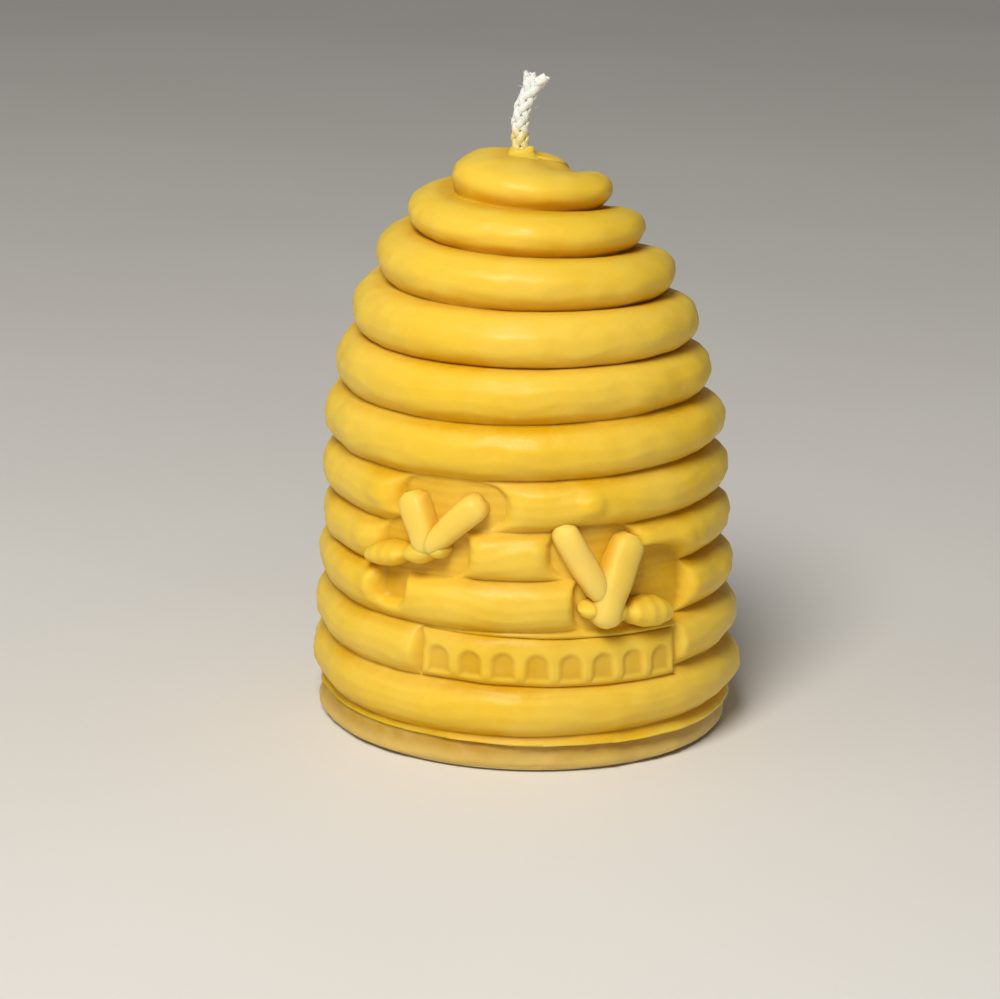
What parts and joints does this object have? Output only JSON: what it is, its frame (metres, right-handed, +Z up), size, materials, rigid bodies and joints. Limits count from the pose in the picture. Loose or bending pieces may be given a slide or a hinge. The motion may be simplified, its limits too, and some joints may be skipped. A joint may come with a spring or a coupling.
{
  "type": "skep candle",
  "caption": "Beeswax candle cast as a coiled straw beehive, with relief bees, a shallow entrance panel, a pale base layer and a cotton wick.",
  "frame": {"origin": "centre of the round foot, on the surface that the candle stands on", "axes": "+Z up; -Y is the front, with the bees and the entrance panel; +X is to the right as seen from the front"},
  "size_m": [0.063, 0.063, 0.095],
  "materials": {
    "wax": "soft satin beeswax",
    "pale_wax": "soft satin, paler beeswax",
    "cotton": "braided cotton"
  },
  "bodies": {
    "root": {"skep_body": "wax", "entrance_panel": "wax", "base_lip": "pale_wax", "wick_collar": "wax", "wick": "cotton", "left_bee_body": "wax", "left_bee_rear_wing": "wax", "left_bee_front_wing": "wax", "right_bee_body": "wax", "right_bee_rear_wing": "wax", "right_bee_front_wing": "wax"}
  },
  "joints": []
}
